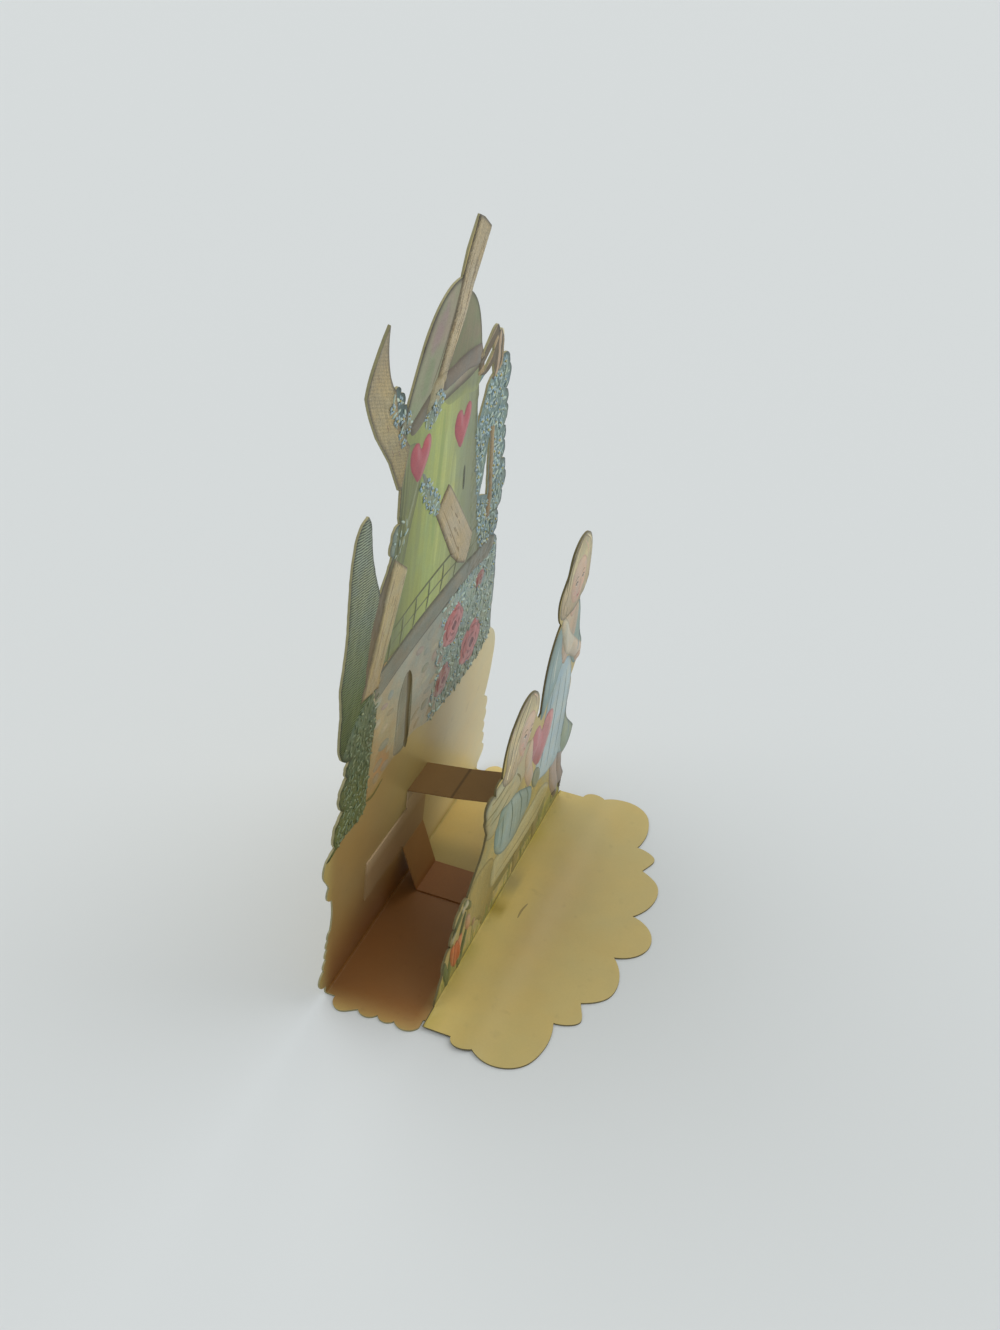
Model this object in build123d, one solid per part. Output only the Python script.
"""Stand-up die-cut greeting card: a back sheet with a windmill outline, folded forward into a floor,
a front sheet whose apron folds up into a figure panel, and a creased paper strip that braces the two."""

import os
from math import cos, radians, sin, tan

from build123d import *

# Card stock
card_thickness = 0.5
fold_inner_radius = 0.8
fold_leg = 3
relief_height = 0.3

# Whole card: width between the straight sides, depth of the base
card_width = 100
base_depth = 74
fold_end_share = 0.495

# Back sheet: the field that its outline is laid out on, and its lean towards the viewer
back_field_height = 200
back_lean_deg = 6.5
glue_flap_depth = 11.5
glue_flap_inset = 2.5

# Front sheet: distance between the two folds, field of the figures, lean, ends of its fold
stage_depth = 28.5
figure_field_height = 100
figure_lean_deg = 4.5
figure_fold_left_share = -0.43
figure_fold_right_share = 0.478
apron_slope_length = 9

# Brace: a strip that loops between the two panels, with a glued flange on the back panel
brace_thickness = 0.4
brace_left = -6.7
brace_right = 6.0
bridge_height_back = 37.9
bridge_height_front = 42
bridge_crease_drop = 0.4
brace_wall_bottom = 16
brace_landing = 5.8
brace_front_leg = 15
brace_end_clearance = 0.5
flange_left = -30
flange_bottom = 17
flange_top = 31

# Sail that curls forward at its free end
curl_radius = 67
curl_reach = 26
curl_half_width = 11
curl_depth = 12

# Printed forms pressed up from the sheets
heart_width = 9.6
heart_height = 10.4
heart_notch_share = 0.27
heart_flank_share = 0.62
rail_post_width = 1.0
rail_post_pitch = 6.8
rose_radius = 6.5

# Outline of the back sheet, as shares of the card width and the field height, clockwise
# from the fold: curves are smooth, lobes bulge between their points, lines are straight
lobe_bulge_share = 0.27
left_outline_shares = [
    ("curve", [(-0.527, 0.028), (-0.531, 0.040), (-0.508, 0.052)]),
    ("lobes", [(-0.499, 0.070), (-0.496, 0.088), (-0.494, 0.104), (-0.484, 0.119)]),
    ("curve", [(-0.478, 0.150), (-0.487, 0.178)]),
    ("lobes", [(-0.504, 0.207)]),
    ("curve", [(-0.523, 0.226), (-0.536, 0.243), (-0.530, 0.257), (-0.492, 0.272)]),
    ("lobes", [(-0.462, 0.321), (-0.455, 0.372), (-0.440, 0.393)]),
    ("curve", [(-0.484, 0.411), (-0.497, 0.440), (-0.493, 0.475), (-0.500, 0.510), (-0.488, 0.552),
               (-0.479, 0.620), (-0.469, 0.680), (-0.449, 0.704), (-0.418, 0.713)]),
    ("curve", [(-0.400, 0.698), (-0.388, 0.668), (-0.366, 0.630), (-0.333, 0.592)]),
    ("line", [(-0.300, 0.612), (-0.288, 0.628)]),
    ("lobes", [(-0.294, 0.648), (-0.265, 0.664)]),
    ("line", [(-0.268, 0.708), (-0.285, 0.710), (-0.335, 0.753), (-0.405, 0.797), (-0.472, 0.853)]),
    ("curve", [(-0.462, 0.892), (-0.440, 0.923)]),
    ("line", [(-0.428, 0.914), (-0.360, 0.853), (-0.334, 0.834)]),
    ("lobes", [(-0.305, 0.825), (-0.286, 0.808), (-0.269, 0.797)]),
]
top_outline_shares = [
    ("curve", [(-0.226, 0.837), (-0.150, 0.885), (-0.100, 0.898), (-0.046, 0.901)]),
    ("line", [(-0.027, 0.928), (0.013, 0.958), (0.045, 0.951), (0.083, 0.937), (0.074, 0.924),
              (0.012, 0.878)]),
    ("curve", [(0.065, 0.853), (0.092, 0.826), (0.107, 0.802)]),
    ("line", [(0.109, 0.787)]),
]
right_outline_shares = [
    ("curve", [(0.150, 0.801), (0.185, 0.811), (0.206, 0.800)]),
    ("lobes", [(0.245, 0.781)]),
    ("line", [(0.250, 0.760)]),
    ("lobes", [(0.306, 0.742), (0.303, 0.708), (0.320, 0.686), (0.321, 0.655), (0.336, 0.632),
               (0.336, 0.604), (0.368, 0.582), (0.369, 0.552), (0.350, 0.526), (0.343, 0.490)]),
    ("curve", [(0.373, 0.476), (0.390, 0.445), (0.403, 0.412), (0.413, 0.370), (0.419, 0.330),
               (0.440, 0.303)]),
    ("curve", [(0.475, 0.286), (0.493, 0.268), (0.497, 0.230), (0.489, 0.197), (0.468, 0.162)]),
    ("lobes", [(0.497, 0.129), (0.494, 0.104), (0.497, 0.080), (0.508, 0.052)]),
    ("curve", [(0.531, 0.040), (0.527, 0.028)]),
]

# Openings cut through the back sheet, in the same shares
tower_gap_shares = [(0.116, 0.751), (0.186, 0.765), (0.200, 0.748), (0.177, 0.737), (0.157, 0.713),
                    (0.139, 0.694), (0.126, 0.716)]
branch_gap_shares = [(0.130, 0.775), (0.178, 0.790), (0.181, 0.781), (0.130, 0.764)]
post_gap_shares = [(0.205, 0.582), (0.218, 0.608), (0.221, 0.640), (0.225, 0.660), (0.232, 0.655),
                   (0.241, 0.625), (0.252, 0.595), (0.260, 0.570), (0.232, 0.577)]

# Line that the free sail curls about: a point on the bend, and one further along the sail
curl_line_shares = [(-0.376, 0.828), (-0.479, 0.914)]

# Base, right half, as shares of the card width and of the base depth from the back
floor_edge_shares = [
    ("curve", [(0.526, 0.062), (0.533, 0.085), (0.525, 0.117), (0.511, 0.147)]),
    ("lobes", [(0.508, 0.221), (0.509, 0.286), (0.502, 0.377)]),
]
apron_edge_shares = [
    ("line", [(0.498, 0.495)]),
    ("curve", [(0.519, 0.515), (0.522, 0.550), (0.513, 0.583)]),
    ("curve", [(0.530, 0.625), (0.535, 0.675), (0.526, 0.727), (0.500, 0.774), (0.460, 0.800),
               (0.410, 0.810), (0.352, 0.797)]),
    ("curve", [(0.343, 0.850), (0.323, 0.881), (0.292, 0.872), (0.264, 0.855)]),
    ("curve", [(0.250, 0.893), (0.218, 0.938), (0.180, 0.950), (0.130, 0.938), (0.082, 0.895)]),
    ("curve", [(0.071, 0.937), (0.040, 0.984), (0, 1)]),
]

# Figure panel, as shares of the card width and of the figure field height, clockwise
figure_outline_shares = [
    ("curve", [(-0.412, 0.060), (-0.397, 0.100)]),
    ("lobes", [(-0.385, 0.140), (-0.352, 0.155), (-0.336, 0.205), (-0.308, 0.250), (-0.262, 0.252)]),
    ("curve", [(-0.222, 0.295), (-0.190, 0.325), (-0.166, 0.395)]),
    ("line", [(-0.192, 0.451), (-0.197, 0.486)]),
    ("lobes", [(-0.135, 0.505), (-0.082, 0.520)]),
    ("curve", [(-0.078, 0.580), (-0.052, 0.640), (0.000, 0.684), (0.045, 0.696), (0.100, 0.682),
               (0.142, 0.640), (0.153, 0.600), (0.145, 0.565)]),
    ("line", [(0.166, 0.542), (0.178, 0.550)]),
    ("curve", [(0.181, 0.640), (0.205, 0.730), (0.258, 0.792)]),
    ("curve", [(0.228, 0.840), (0.226, 0.885), (0.258, 0.930), (0.282, 0.985), (0.345, 1.020),
               (0.415, 0.995), (0.445, 0.935), (0.450, 0.870), (0.395, 0.805)]),
    ("curve", [(0.415, 0.745), (0.438, 0.660), (0.470, 0.600), (0.455, 0.555), (0.422, 0.515)]),
    ("curve", [(0.430, 0.460), (0.416, 0.390), (0.450, 0.335), (0.518, 0.262)]),
    ("curve", [(0.500, 0.222), (0.440, 0.200)]),
    ("line", [(0.448, 0.155), (0.484, 0.098), (0.462, 0.065)]),
]

# Pressed forms on the back sheet, in shares of the card width and the field height
sail_shares = {
    "upper right": [(-0.146, 0.803), (-0.098, 0.805), (0.020, 0.885), (0.078, 0.936), (0.014, 0.954),
                    (-0.040, 0.903)],
    "lower right": [(-0.073, 0.630), (-0.015, 0.655), (0.003, 0.648), (0.188, 0.522), (0.147, 0.511)],
    "lower left": [(-0.272, 0.621), (-0.207, 0.592), (-0.313, 0.456), (-0.400, 0.464)],
}
cap_rim_shares = {
    "upper": [(-0.240, 0.782), (-0.150, 0.800), (-0.050, 0.8075), (0.030, 0.8085), (0.104, 0.8015)],
    "lower": [(0.104, 0.779), (0.030, 0.785), (-0.050, 0.784), (-0.150, 0.777), (-0.228, 0.764)],
}
platform_shares = {
    "upper": [(-0.310, 0.470), (-0.200, 0.481), (0.000, 0.489), (0.200, 0.492), (0.330, 0.488)],
    "lower": [(0.330, 0.462), (0.200, 0.463), (0.000, 0.457), (-0.200, 0.447), (-0.310, 0.439)],
}
rail_shares = {
    "upper": [(-0.270, 0.522), (-0.150, 0.533), (0.000, 0.540), (0.100, 0.540)],
    "lower": [(0.100, 0.533), (0.000, 0.533), (-0.150, 0.526), (-0.270, 0.515)],
}
rail_foot_share = 0.483
rail_top_share = 0.530
rail_start_share = -0.255
rail_post_count = 6
door_shares = [(-0.188, 0.300), (-0.188, 0.396), (-0.147, 0.422), (-0.107, 0.396), (-0.107, 0.300)]
heart_places_shares = [(-0.187, 0.723), (0.035, 0.715)]
rose_places_shares = [
    (0.125, 0.408, 0.90), (0.270, 0.333, 1.00), (0.090, 0.328, 0.70), (0.285, 0.435, 0.40),
]

# Pressed forms on the figure panel: heads as places and widths, the heart, the bench
head_shares = [(0.035, 0.595, 0.19), (0.343, 0.905, 0.19)]
head_height_share = 1.05
figure_heart_share = (0.225, 0.430)
figure_heart_scale_share = 1.6
bench_shares = [
    (-0.240, 0.200), (-0.230, 0.285), (-0.080, 0.230), (0.240, 0.200), (0.240, 0.110), (-0.100, 0.120),
]


def panel_plane(fold_y, fold_z, lean_deg):
    """Plane on the front face of a leaning panel: x along the fold, y up the panel."""
    lean = radians(lean_deg)
    return Plane(origin=(0, fold_y, fold_z), x_dir=(1, 0, 0), z_dir=(0, -cos(lean), -sin(lean)))


def fold_reach(lean_deg):
    """How far the round of a fold stands out behind the panel's front face at its foot."""
    lean = radians(lean_deg)
    outer = fold_inner_radius + card_thickness
    return (card_thickness - outer * (1 + sin(lean)) + outer * cos(lean)) / cos(lean)


fold_half_width = card_width * fold_end_share
figure_fold_left = card_width * figure_fold_left_share
figure_fold_right = card_width * figure_fold_right_share
back_fold_y = base_depth / 2 - fold_reach(back_lean_deg)
figure_fold_y = back_fold_y - stage_depth
back_plane = panel_plane(back_fold_y, 0, back_lean_deg)
figure_plane = panel_plane(figure_fold_y, card_thickness, figure_lean_deg)


def placed(shares, width, height):
    return [Vector(x * width, y * height) for x, y in shares]


def bulge(start, end):
    """Arc from one point to the next that bulges to the left of the way it runs."""
    chord = end - start
    middle = (start + end) / 2 + Vector(-chord.Y, chord.X) * lobe_bulge_share
    return ThreePointArc(start, middle, end)


def run_edges(start, runs, width, height):
    """Edges of an outline that goes on from a point through its runs, and its last point."""
    edges = []
    for kind, shares in runs:
        points = placed(shares, width, height)
        if kind == "curve":
            edges.append(Spline(start, *points))
        else:
            for first, second in zip([start] + points, points):
                edges.append(bulge(first, second) if kind == "lobes" else Line(first, second))
        start = points[-1]
    return edges, start


def closed_face(edges, start, end):
    return make_face(Wire(edges + [Line(end, start)]))


def folded_corner(fold_y, bottom_z, lean_deg, left, right):
    """The rounded fold of a sheet between its flat foot and its leaning panel."""
    lean = radians(lean_deg)
    up = Vector(-sin(lean), cos(lean))
    behind = Vector(cos(lean), sin(lean)) * card_thickness
    inner = Vector(-card_thickness * tan(lean), card_thickness)
    outer = Vector(card_thickness / cos(lean), 0)
    corners = [outer, up * fold_leg + behind, up * fold_leg, inner,
               Vector(-fold_leg, card_thickness), Vector(-fold_leg, 0)]
    section = make_face(Polyline(*corners, close=True))
    inner_corner = section.vertices().sort_by_distance(inner)[0]
    section = fillet(inner_corner, fold_inner_radius)
    outer_corner = section.vertices().sort_by_distance(outer)[0]
    section = fillet(outer_corner, fold_inner_radius + card_thickness)
    side = Plane(origin=(left, fold_y, bottom_z), x_dir=(0, 1, 0), z_dir=(1, 0, 0))
    return side * extrude(section, right - left)


def back_outline():
    """Face of the die-cut back panel above its fold, with its three openings."""
    start = Vector(-fold_half_width, fold_leg)
    runs = left_outline_shares + top_outline_shares + right_outline_shares
    edges, last = run_edges(start, runs, card_width, back_field_height)
    corner = Vector(fold_half_width, fold_leg)
    face = closed_face(edges + [Line(last, corner)], start, corner)
    for shares in (tower_gap_shares, branch_gap_shares, post_gap_shares):
        face -= make_face(Polyline(*placed(shares, card_width, back_field_height), close=True))
    return face


def raised(face, within):
    """A form pressed up from the front of a sheet, kept inside the sheet's outline."""
    return extrude(face & within, relief_height)


def ribbon_face(edges_shares, height):
    """Band between an upper and a lower curve."""
    upper = placed(edges_shares["upper"], card_width, height)
    lower = placed(edges_shares["lower"], card_width, height)
    sides = [Line(upper[-1], lower[0]), Line(lower[-1], upper[0])]
    return make_face(Wire([Spline(*upper), sides[0], Spline(*lower), sides[1]]))


def polygon_face(shares, height):
    return make_face(Polyline(*placed(shares, card_width, height), close=True))


def heart_face(centre, width, height):
    """Heart: two round lobes over a point."""
    half, lobe = width / 2, width / 4
    notch = centre + Vector(0, height * heart_notch_share)
    tip = centre - Vector(0, height / 2)
    edges = []
    for side in (-1, 1):
        shoulder = centre + Vector(side * half, height * heart_notch_share)
        top = centre + Vector(side * lobe, height / 2)
        flank = centre + Vector(side * half * heart_flank_share, -height * heart_notch_share)
        edges.append(ThreePointArc(notch, top, shoulder))
        edges.append(Spline(shoulder, flank, tip))
    return make_face(Wire(edges))


def curled_end(sheet, outline):
    """Cuts a sail's free end off the flat sheet and puts it back curled towards the viewer."""
    root, ahead = placed(curl_line_shares, card_width, back_field_height)
    along = (ahead - root).normalized()
    across = Vector(-along.Y, along.X)
    from_root = (Align.MIN, Align.CENTER, Align.CENTER)
    zone = Box(curl_reach, 2 * curl_half_width, 2 * curl_depth, align=from_root)
    zone = Plane(origin=root, x_dir=along, z_dir=(0, 0, 1)) * zone
    turn = curl_reach / curl_radius

    def arc(radius, turns):
        return ThreePointArc(*[(radius * sin(a), curl_radius - radius * cos(a)) for a in turns])

    front = arc(curl_radius, (0, turn / 2, turn))
    rear = arc(curl_radius + card_thickness, (turn, turn / 2, 0))
    section = make_face(Wire([front, Line(front @ 1, rear @ 0), rear, Line(rear @ 1, front @ 0)]))
    slab = Plane(origin=root, x_dir=along, z_dir=-across) * extrude(section, curl_half_width, both=True)
    free_end = extrude(outline, curl_depth, both=True) & zone & slab
    return sheet - zone + free_end


def gallery_forms():
    """The windmill's gallery: platform, top rail and a row of posts."""
    forms = [ribbon_face(platform_shares, back_field_height), ribbon_face(rail_shares, back_field_height)]
    foot, top = rail_foot_share * back_field_height, rail_top_share * back_field_height
    for i in range(rail_post_count):
        x = rail_start_share * card_width + i * rail_post_pitch
        forms.append(Pos(x, (foot + top) / 2) * Rectangle(rail_post_width, top - foot))
    return forms


def back_forms():
    """Pressed forms of the windmill: sails, rim of the cap, gallery, door, hearts and roses."""
    forms = [polygon_face(shares, back_field_height) for shares in sail_shares.values()]
    forms.append(ribbon_face(cap_rim_shares, back_field_height))
    forms.append(polygon_face(door_shares, back_field_height))
    forms += gallery_forms()
    for place in placed(heart_places_shares, card_width, back_field_height):
        forms.append(heart_face(place, heart_width, heart_height))
    for x, y, scale in rose_places_shares:
        forms.append(Pos(x * card_width, y * back_field_height) * Circle(rose_radius * scale))
    return forms


def back_sheet():
    """Windmill panel, its fold and the floor behind the figures, in one folded sheet."""
    outline = back_outline()
    panel = extrude(outline, -card_thickness)
    panel = curled_end(panel, outline)
    for form in back_forms():
        panel += raised(form, outline)
    corner = folded_corner(back_fold_y, 0, back_lean_deg, -fold_half_width, fold_half_width)
    return back_plane * panel + corner + floor()


def plan_face(start, runs):
    """Plan outline, mirrored about the card's middle, placed on the base."""
    edges, last = run_edges(start, runs, card_width, -base_depth)
    right = Wire(edges)
    left = mirror(right, Plane.YZ)
    back = Line(start, Vector(-start.X, start.Y))
    return Pos(0, base_depth / 2) * make_face([*right.edges(), *left.edges(), back])


def floor():
    """Floor between the panels, with a narrower flap that is glued under the apron."""
    start = Vector(fold_half_width, back_fold_y - fold_leg - base_depth / 2)
    flap_side = card_width / 2 - glue_flap_inset
    flap_front = (base_depth / 2 - figure_fold_y + glue_flap_depth) / base_depth
    flap_back = floor_edge_shares[-1][1][-1][1]
    side = flap_side / card_width
    flap = ("line", [(side, flap_back), (side, flap_front), (0, flap_front)])
    return extrude(plan_face(start, floor_edge_shares + [flap]), card_thickness)


def apron():
    """Scalloped apron: lies on the glue flap, then slopes down to the table."""
    start = Vector(apron_edge_shares[0][1][0][0] * card_width, figure_fold_y - base_depth / 2)
    plan = plan_face(start, apron_edge_shares)
    foot = Rectangle(figure_fold_right - figure_fold_left, 2 * fold_leg)
    foot = Pos((figure_fold_left + figure_fold_right) / 2, figure_fold_y) * foot
    flap_edge = figure_fold_y - glue_flap_depth
    top = [(figure_fold_y, 2 * card_thickness), (flap_edge, 2 * card_thickness),
           (flap_edge - apron_slope_length, card_thickness), (-base_depth, card_thickness)]
    bottom = [(y, z - card_thickness) for y, z in reversed(top)]
    section = Plane.YZ * make_face(Polyline(*top, *bottom, close=True))
    return extrude(section, card_width, both=True) & extrude(plan - foot, base_depth)


def figure_outline():
    """Face of the die-cut figure panel above its fold."""
    start = Vector(figure_fold_left, fold_leg)
    edges, last = run_edges(start, figure_outline_shares, card_width, figure_field_height)
    corner = Vector(figure_fold_right, fold_leg)
    return closed_face(edges + [Line(last, corner)], start, corner)


def figure_forms():
    """Pressed forms of the figures: two heads, the heart between them and the bench."""
    forms = [polygon_face(bench_shares, figure_field_height)]
    for x, y, width in head_shares:
        radius = width * card_width / 2
        head = Ellipse(radius, radius * head_height_share)
        forms.append(Pos(x * card_width, y * figure_field_height) * head)
    place = placed([figure_heart_share], card_width, figure_field_height)[0]
    scale = figure_heart_scale_share
    forms.append(heart_face(place, heart_width * scale, heart_height * scale))
    return forms


def figure_sheet():
    """Figure panel and apron, in one folded sheet."""
    outline = figure_outline()
    panel = extrude(outline, -card_thickness)
    for form in figure_forms():
        panel += raised(form, outline)
    fold = (figure_fold_y, card_thickness, figure_lean_deg)
    corner = folded_corner(*fold, figure_fold_left, figure_fold_right)
    return figure_plane * panel + corner + apron()


def strip_section(line, thickness):
    """Section of a creased strip: its middle line, thickened with mitred corners."""
    sides = []
    for sign in (-1, 1):
        for i, point in enumerate(line):
            before = (point - line[i - 1]).normalized() if i else None
            after = (line[i + 1] - point).normalized() if i + 1 < len(line) else None
            before, after = before or after, after or before
            normals = [Vector(-d.Y, d.X) for d in (before, after)]
            mean = (normals[0] + normals[1]).normalized()
            reach = thickness / 2 / mean.dot(normals[0])
            sides.append(point + mean * (sign * reach))
    half = len(line)
    return make_face(Polyline(*sides[:half], *reversed(sides[half:]), close=True))


def brace_line():
    """Middle line of the brace, seen from the side: leg, bridge, wall, slope and floor run."""
    middle = brace_thickness / 2

    def on_back(height):
        point = back_plane.from_local_coords((0, height, middle))
        return Vector(point.Y, point.Z)

    def on_figure(height):
        point = figure_plane.from_local_coords((0, height, -card_thickness - middle))
        return Vector(point.Y, point.Z)

    front, back = on_figure(bridge_height_front), on_back(bridge_height_back)
    crease = (front + back) / 2 - Vector(0, bridge_crease_drop)
    floor_level = card_thickness + middle
    landing = Vector(back_fold_y - brace_landing, floor_level)
    end_y = figure_fold_y + fold_reach(figure_lean_deg) + brace_end_clearance
    return [on_figure(bridge_height_front - brace_front_leg), front, crease, back,
            on_back(brace_wall_bottom), landing, Vector(end_y, floor_level)]


def brace_strip():
    """Creased strip between the panels, with its flange glued to the back panel."""
    side = Plane(origin=(brace_left, 0, 0), x_dir=(0, 1, 0), z_dir=(1, 0, 0))
    strip = side * extrude(strip_section(brace_line(), brace_thickness), brace_right - brace_left)
    flange = Rectangle(brace_left - flange_left, flange_top - flange_bottom)
    flange = Pos((flange_left + brace_left) / 2, (flange_bottom + flange_top) / 2) * flange
    return strip + back_plane * extrude(flange, brace_thickness)


os.makedirs("parts", exist_ok=True)
export_step(back_sheet(), "parts/back_sheet.step")
export_step(figure_sheet(), "parts/figure_sheet.step")
export_step(brace_strip(), "parts/brace_strip.step")
